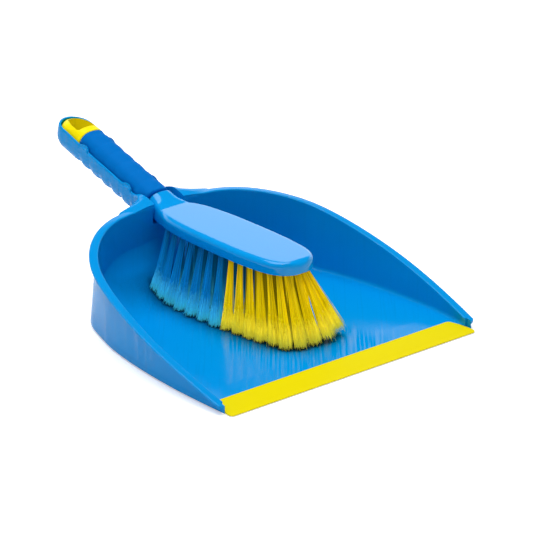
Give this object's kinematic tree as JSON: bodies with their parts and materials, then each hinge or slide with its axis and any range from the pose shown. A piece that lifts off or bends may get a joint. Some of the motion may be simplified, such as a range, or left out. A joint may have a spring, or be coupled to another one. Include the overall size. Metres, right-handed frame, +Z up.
{
  "type": "dustpan and hand brush set",
  "caption": "Scoop dustpan with a curved rim, soft front lip and finger-lobed channel handle, with a hand brush nested in it.",
  "frame": {"origin": "on the flat underside of the pan, on the plane of symmetry, 110 mm behind the front edge of the lip", "axes": "+Z up, the open mouth and lip face -Y, both handles run towards +Y, X is across the pan"},
  "size_m": [0.2352, 0.3276, 0.0962],
  "materials": {
    "pan_plastic": "smooth moulded polypropylene",
    "lip_rubber": "satin soft lip",
    "block_plastic": "polished moulded polypropylene",
    "grip_rubber": "satin soft grip",
    "cap_plastic": "satin moulded plastic",
    "bristle_blue": "flagged synthetic filament",
    "bristle_yellow": "flagged synthetic filament"
  },
  "bodies": {
    "dustpan": {"pan_body": "pan_plastic", "pan_lip": "lip_rubber"},
    "brush": {"brush_block": "block_plastic", "grip_sleeve": "grip_rubber", "hang_cap": "cap_plastic", "tuft_blue_01a": "bristle_blue", "tuft_blue_01b": "bristle_blue", "tuft_blue_01c": "bristle_blue", "tuft_blue_01d": "bristle_blue", "tuft_blue_02a": "bristle_blue", "tuft_blue_02b": "bristle_blue", "tuft_blue_02c": "bristle_blue", "tuft_blue_02d": "bristle_blue", "tuft_blue_03a": "bristle_blue", "tuft_blue_03b": "bristle_blue", "tuft_blue_03c": "bristle_blue", "tuft_blue_03d": "bristle_blue", "tuft_blue_04a": "bristle_blue", "tuft_blue_04b": "bristle_blue", "tuft_blue_04c": "bristle_blue", "tuft_blue_04d": "bristle_blue", "tuft_blue_05a": "bristle_blue", "tuft_blue_05b": "bristle_blue", "tuft_blue_05c": "bristle_blue", "tuft_blue_05d": "bristle_blue", "tuft_blue_06a": "bristle_blue", "tuft_blue_06b": "bristle_blue", "tuft_blue_06c": "bristle_blue", "tuft_blue_06d": "bristle_blue", "tuft_blue_07a": "bristle_blue", "tuft_blue_07b": "bristle_blue", "tuft_blue_07c": "bristle_blue", "tuft_blue_07d": "bristle_blue", "tuft_yellow_08a": "bristle_yellow", "tuft_yellow_08b": "bristle_yellow", "tuft_yellow_08c": "bristle_yellow", "tuft_yellow_08d": "bristle_yellow", "tuft_yellow_09a": "bristle_yellow", "tuft_yellow_09b": "bristle_yellow", "tuft_yellow_09c": "bristle_yellow", "tuft_yellow_09d": "bristle_yellow", "tuft_yellow_10a": "bristle_yellow", "tuft_yellow_10b": "bristle_yellow", "tuft_yellow_10c": "bristle_yellow", "tuft_yellow_10d": "bristle_yellow", "tuft_yellow_11a": "bristle_yellow", "tuft_yellow_11b": "bristle_yellow", "tuft_yellow_11c": "bristle_yellow", "tuft_yellow_11d": "bristle_yellow", "tuft_yellow_12a": "bristle_yellow", "tuft_yellow_12b": "bristle_yellow", "tuft_yellow_12c": "bristle_yellow", "tuft_yellow_12d": "bristle_yellow", "tuft_yellow_13a": "bristle_yellow", "tuft_yellow_13b": "bristle_yellow", "tuft_yellow_13c": "bristle_yellow", "tuft_yellow_13d": "bristle_yellow", "tuft_yellow_13e": "bristle_yellow"}
  },
  "joints": [
    {"name": "brush_lift", "type": "slide", "parent": "dustpan", "child": "brush", "axis": [0, -0.2907, 0.9568], "range_m": [0, 0.14]}
  ]
}
